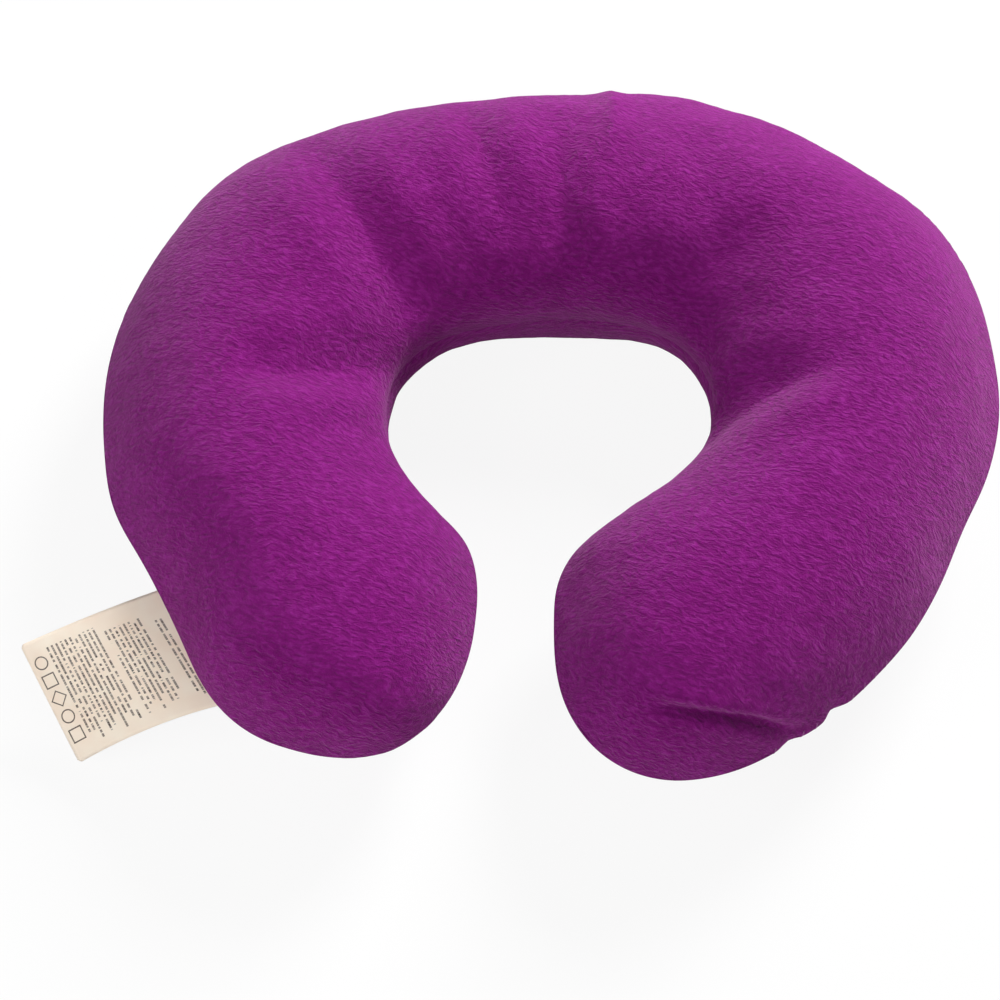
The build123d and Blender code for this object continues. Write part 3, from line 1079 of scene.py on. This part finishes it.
def plush_knit():
    """Brushed polyester plush: ripples and fibres of the pile in bump, and in colour as painted shade and
    highlight, with a soft sheen.
    """
    material = new_material("brushed_polyester_plush")
    place = add_node(material, "ShaderNodeAttribute", {"attribute_name": "cut_place"})
    patches = add_node(material, "ShaderNodeTexNoise", Vector=(place, "Vector"),
                       Scale=1 / PATCH_SIZE, Detail=3.0, Roughness=0.55)
    wander = add_node(material, "ShaderNodeVectorMath", {"operation": "SCALE"},
                      _0=(patches, "Color"), Scale=RIPPLE_WANDER)
    bent = add_node(material, "ShaderNodeVectorMath", {"operation": "ADD"},
                    _0=(place, "Vector"), _1=(wander, 0))
    laid = add_node(material, "ShaderNodeMapping", {"vector_type": "TEXTURE"}, Vector=(bent, 0),
                    Rotation=(0, 0, RIPPLE_TURN), Scale=(RIPPLE_LENGTH, RIPPLE_WIDTH, 20 * MM))
    ripples = add_node(material, "ShaderNodeTexNoise", Vector=(laid, 0),
                       Scale=1.0, Detail=2.5, Roughness=0.5, Distortion=0.5)
    fibres = add_node(material, "ShaderNodeTexNoise", Vector=(place, "Vector"),
                      Scale=1 / FIBRE_SIZE, Detail=2.0, Roughness=0.6)
    pile = add_node(material, "ShaderNodeMix", {"data_type": "FLOAT"}, Factor=FIBRE_SHARE,
                    _2=(ripples, "Fac"), _3=(fibres, "Fac"))
    tint = add_node(material, "ShaderNodeMath", {"operation": "MULTIPLY_ADD"},
                    _0=(patches, "Fac"), _1=PATCH_TINT, _2=-PATCH_TINT / 2)
    shade = add_node(material, "ShaderNodeMath", {"operation": "ADD"}, _0=(pile, 0), _1=(tint, 0))
    # The colour follows the pile's height: painted shade where it is low, and a painted highlight where it is
    # high.
    colour = add_node(material, "ShaderNodeValToRGB", Fac=(shade, 0))
    set_ramp(colour, [(0.34, PILE_SHADED), (0.5, PILE_MIDDLE), (0.68, PILE_LIT)])
    bump = add_node(material, "ShaderNodeBump", Strength=1.0, Distance=PILE_HEIGHT, Height=(pile, 0))
    cloth = add_node(material, "ShaderNodeBsdfPrincipled", Base_Color=(colour, 0), Normal=(bump, 0),
                     Roughness=0.92, Specular_IOR_Level=0.05,
                     Sheen_Weight=0.3, Sheen_Roughness=0.5, Sheen_Tint=srgb("#eab4df"))
    add_node(material, "ShaderNodeOutputMaterial", Surface=(cloth, 0))
    return material


plush = plush_knit()
for piece in cover.values():
    piece.data.materials.append(plush)
print(plush.name, "has", len(plush.node_tree.nodes), "nodes")

# %% [markdown]
# The stuffing is siliconised polyester fibre: white, matt and cloudy, with fine strands lying every way.
# Loose fibre scatters light, so it is rough, with a little sheen. It is inside the cover, and only a
# cut or an open seam would show it.

# %% Fibre
CLOUD_SIZE = 9 * MM
STRAND_SIZE = 1.2 * MM


def fibre():
    """White polyester fibre: tangled strands from two stretched noises."""
    material = new_material("loose_polyester_fibre")
    place = add_node(material, "ShaderNodeTexCoord")
    clouds = add_node(material, "ShaderNodeTexNoise", Vector=(place, "Object"),
                      Scale=1 / CLOUD_SIZE, Detail=5.0, Distortion=1.2)
    strands = add_node(material, "ShaderNodeTexNoise", Vector=(place, "Object"),
                       Scale=1 / STRAND_SIZE, Detail=4.0, Distortion=3.0)
    colour = add_node(material, "ShaderNodeValToRGB", Fac=(clouds, "Fac"))
    set_ramp(colour, [(0.3, "#dcdad4"), (0.7, "#f4f3ee")])
    both = add_node(material, "ShaderNodeMath", {"operation": "ADD"},
                    _0=(clouds, "Fac"), _1=(strands, "Fac"))
    bump = add_node(material, "ShaderNodeBump", Strength=0.8, Distance=1.5 * MM, Height=(both, 0))
    cloth = add_node(material, "ShaderNodeBsdfPrincipled", Base_Color=(colour, 0), Normal=(bump, 0),
                     Roughness=0.95, Sheen_Weight=0.3)
    add_node(material, "ShaderNodeOutputMaterial", Surface=(cloth, 0))
    return material


fill_material = fibre()
for piece in stuffing.values():
    piece.data.materials.append(fill_material)
print(fill_material.name, "has", len(fill_material.node_tree.nodes), "nodes")

# %% [markdown]
# The thread is spun polyester, dyed to match the plush. Its plies are twisted, so it shows fine slanting
# lines, drawn in bump and in colour: the grooves between the plies are painted shade and the plies a
# painted highlight. It has a little more gloss than the pile.

# %% Thread
PLY_SPACING = 0.5 * MM
ONE_BAND = 0.31                          # scale at which a wave texture has about one band in each unit


def spun_thread():
    """Spun polyester thread: slanting plies in bump, and in colour as painted shade between them."""
    material = new_material("spun_polyester_thread")
    place = add_node(material, "ShaderNodeTexCoord")
    plies = add_node(material, "ShaderNodeTexWave", {"bands_direction": "DIAGONAL"},
                     Vector=(place, "Object"), Scale=ONE_BAND / PLY_SPACING, Distortion=0.8)
    # The colour is the dye, darker in the grooves between the plies as painted shade and lighter on the plies
    # as a painted highlight.
    colour = add_node(material, "ShaderNodeValToRGB", Fac=(plies, "Fac"))
    set_ramp(colour, [(0.2, "#6a1261"), (0.8, "#9a3c90")])
    bump = add_node(material, "ShaderNodeBump", Strength=0.5, Distance=0.08 * MM, Height=(plies, "Fac"))
    thread = add_node(material, "ShaderNodeBsdfPrincipled", Base_Color=(colour, 0), Normal=(bump, 0),
                      Roughness=0.55, Sheen_Weight=0.2)
    add_node(material, "ShaderNodeOutputMaterial", Surface=(thread, 0))
    return material


thread_material = spun_thread()
for piece in [*threads.values(), closing]:
    piece.data.materials.clear()
    piece.data.materials.append(thread_material)
print(thread_material.name, "has", len(thread_material.node_tree.nodes), "nodes")

# %% [markdown]
# The label is woven polyester satin, cream, printed with dark ink. Its warp floats over several weft
# threads at a time, which gives fine lines along the leaf and a soft gloss across them. The print is kept
# plain: rows of short dashes where a label has its care text, and a row of outlined shapes near the free
# edge. Rows and dashes come from the place on the flat leaf, so they bend with it. The print is a list of
# small sums, which is easier to read and to change than the many nodes that are made from it.

# %% Print
WARP_SPACING = 0.35 * MM                 # drawn coarser than real satin, or it wouldn't show
ROW_SPACING = 2.0 * MM
ROW_HEIGHT = 0.85 * MM
DASH_LENGTH = 3.4 * MM
DASHES_IN_NOISE, STROKES_IN_NOISE = 2.6, 9       # noise scales for one dash, and for the strokes in it
DASH_GAPS = 0.42                         # noise under this is a gap between dashes
RAGGED_BY = 3 * MM                       # how unevenly the rows end
TONE_SIZE = 14 * MM                      # of the patches where the cream is a little darker or lighter
INK = "#3e2e28"
INK_STRENGTH = 0.95
PRINT_BLOCKS = [(5, 9, 14, 18), (13, 29, 17, 17), (31, 53, 20, 18)]    # start, end, left and right, in mm
SHAPE_LINE = 0.5 * MM
SHAPE_RADIUS = 2.5 * MM
SHAPE_ROW = 57.4 * MM
SHAPE_SPACING = 7.6 * MM
SHAPES = ("round", "square", "diamond", "round", "square")


def print_steps():
    """The print as (name, operation, terms): each step is a Math node, and a term is a name or a number."""
    steps = [("in row", "WRAP", "along", ROW_SPACING, 0.0), ("in row", "LESS_THAN", "in row", ROW_HEIGHT),
             ("dashes", "GREATER_THAN", "words", DASH_GAPS), ("tone", "MULTIPLY_ADD", "letters", 1.1, 0.25),
             ("dashes", "MULTIPLY", "dashes", "tone"), ("dashes", "MULTIPLY", "dashes", "in row"),
             ("ragged", "DIVIDE", "along", ROW_SPACING), ("ragged", "FLOOR", "ragged"),
             ("ragged", "MULTIPLY", "ragged", 2.4), ("ragged", "SINE", "ragged"),
             ("ragged", "MULTIPLY", "ragged", RAGGED_BY), ("ink", "MULTIPLY", "face", 0.0)]
    for start, end, left, right in PRINT_BLOCKS:
        steps += [("block", "GREATER_THAN", "along", start * MM), ("more", "LESS_THAN", "along", end * MM),
                  ("block", "MULTIPLY", "block", "more"), ("more", "GREATER_THAN", "across", -left * MM),
                  ("block", "MULTIPLY", "block", "more"), ("end", "ADD", "ragged", right * MM),
                  ("more", "LESS_THAN", "across", "end"), ("block", "MULTIPLY", "block", "more"),
                  ("ink", "MAXIMUM", "ink", "block")]
    steps += [("ink", "MULTIPLY", "ink", "dashes"),
              ("y", "SUBTRACT", "along", SHAPE_ROW), ("y", "ABSOLUTE", "y")]
    outlines = {"round": [("xx", "MULTIPLY", "x", "x"), ("far", "MULTIPLY_ADD", "y", "y", "xx"),
                          ("far", "SQRT", "far")],
                "square": [("far", "MAXIMUM", "x", "y")],
                "diamond": [("far", "ADD", "x", "y"), ("far", "MULTIPLY", "far", 0.8)]}
    for number, shape in enumerate(SHAPES):
        middle = (number - (len(SHAPES) - 1) / 2) * SHAPE_SPACING
        steps += [("x", "SUBTRACT", "across", middle), ("x", "ABSOLUTE", "x"), *outlines[shape],
                  ("line", "COMPARE", "far", SHAPE_RADIUS, SHAPE_LINE / 2),
                  ("ink", "MAXIMUM", "ink", "line")]
    return steps + [("front", "GREATER_THAN", "face", BACK_PLACE / 2), ("ink", "MULTIPLY", "ink", "front"),
                    ("ink", "MULTIPLY", "ink", INK_STRENGTH)]


print("the print takes", len(print_steps()), "steps")


# %% Satin
def satin():
    """Woven satin ribbon with a plain print in ink."""
    material = new_material("woven_polyester_satin")
    place = add_node(material, "ShaderNodeAttribute", {"attribute_name": "leaf_place"})
    axes = add_node(material, "ShaderNodeSeparateXYZ", Vector=(place, "Vector"))
    rows = add_node(material, "ShaderNodeVectorMath", {"operation": "SNAP"}, _0=(place, "Vector"),
                    _1=(0.02 * MM, ROW_SPACING, 1.0))
    words = add_node(material, "ShaderNodeTexNoise", {"noise_dimensions": "2D"}, Vector=(rows, 0),
                     Scale=DASHES_IN_NOISE / DASH_LENGTH, Detail=1.0)
    letters = add_node(material, "ShaderNodeTexNoise", {"noise_dimensions": "2D"}, Vector=(rows, 0),
                       Scale=STROKES_IN_NOISE / DASH_LENGTH, Detail=0.0)
    known = {"across": (axes, "X"), "along": (axes, "Y"), "face": (axes, "Z"),
             "words": (words, "Fac"), "letters": (letters, "Fac")}
    warp = [("warp", "MULTIPLY", "across", 2 * math.pi / WARP_SPACING), ("warp", "SINE", "warp")]
    for name, operation, *terms in print_steps() + warp:
        links = {f"_{k}": known[term] if isinstance(term, str) else term for k, term in enumerate(terms)}
        known[name] = (add_node(material, "ShaderNodeMath", {"operation": operation}, **links), 0)

    tone = add_node(material, "ShaderNodeTexNoise", Vector=(place, "Vector"), Scale=1 / TONE_SIZE, Detail=2.0)
    cream = add_node(material, "ShaderNodeValToRGB", Fac=(tone, "Fac"))
    set_ramp(cream, [(0.3, "#fbe6d2"), (0.7, "#fff2e0")])
    colour = add_node(material, "ShaderNodeMix", {"data_type": "RGBA"}, Factor=known["ink"],
                      _6=(cream, 0), _7=srgb(INK))
    bump = add_node(material, "ShaderNodeBump", Strength=0.25, Distance=0.05 * MM, Height=known["warp"])
    cloth = add_node(material, "ShaderNodeBsdfPrincipled", Base_Color=(colour, 2), Normal=(bump, 0),
                     Roughness=0.5, Specular_IOR_Level=0.35, Sheen_Weight=0.15)
    add_node(material, "ShaderNodeOutputMaterial", Surface=(cloth, 0))
    return material


label.data.materials.append(satin())
print("materials:", sorted(m.name for m in bpy.data.materials))

# %% [markdown]
# Each piece's place is baked into its mesh, and the construction model's parts that it stands for are hidden.
# The closing stitches are attached to the right arm's body.


def bend_into_arm(piece):
    """Bakes the piece's place into its mesh."""
    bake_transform(piece)


for name, piece in cover.items():
    panel_name, _, side = name.split("_")
    bend_into_arm(piece)
    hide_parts(f"{panel_name}_panel")
for side, piece in stuffing.items():
    bend_into_arm(piece)
    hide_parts("neck_fill", f"{side}_arm_fill")
for (name, side), piece in threads.items():
    bend_into_arm(piece)
    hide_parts(f"seam_{name}")
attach(closing, "right_arm")
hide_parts("closing_stitches")

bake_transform(label)
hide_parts("care_label")
print("pieces that move with the pillow:", len(cover) + len(stuffing) + len(threads) + 2)

# %% [markdown]
# The last cell writes the two boxes, of the construction model and of the finished pillow, so that their
# sizes can be compared.

# %% Sizes and finish
low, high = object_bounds()
print("visual box, mm:", [round(v / MM, 1) for v in (*low, *high)])
